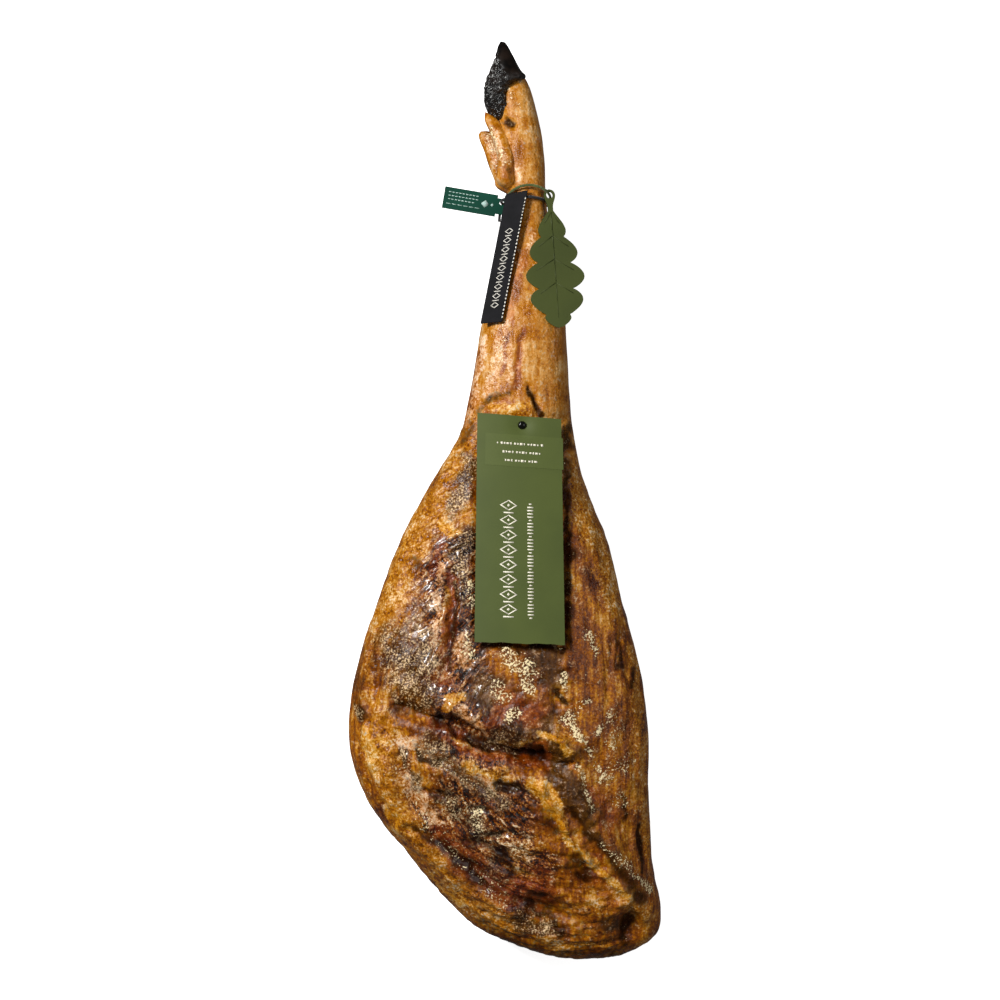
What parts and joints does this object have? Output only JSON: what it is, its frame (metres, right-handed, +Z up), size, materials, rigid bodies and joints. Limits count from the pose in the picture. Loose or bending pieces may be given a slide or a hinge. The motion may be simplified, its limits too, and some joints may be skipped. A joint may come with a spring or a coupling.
{
  "type": "cured ham",
  "caption": "Whole dry-cured ham on the bone with a black hoof, lying on its skin side, with a pinned card, a ribbon, a seal and a leaf tag on cord loops at the ankle.",
  "frame": {"origin": "middle of the footprint's box, at the level the ham rests on", "axes": "+Y along the leg from the butt to the hoof, +Z up out of the trimmed side, +X to the right of someone who looks down on it with the hoof away from them"},
  "size_m": [0.2806, 0.828, 0.126],
  "materials": {
    "cured_meat": "oily golden fat, skin and dried lean with a bloom of mould",
    "horn": "dull black horn",
    "olive_cord": "twisted cotton",
    "black_cord": "twisted cotton",
    "black_ribbon": "woven, with white edge stitches",
    "seal_plastic": "moulded",
    "tag_board": "die-cut board",
    "card_board": "matt coated board",
    "pin_plastic": "gloss"
  },
  "bodies": {
    "root": {"ham": "cured_meat", "hoof_near": "horn", "hoof_far": "horn", "loop_olive": "olive_cord", "loop_black": "black_cord", "ribbon": "black_ribbon", "seal": "seal_plastic", "leaf_tag": "tag_board", "card": "card_board", "card_pin": "pin_plastic"}
  },
  "joints": []
}
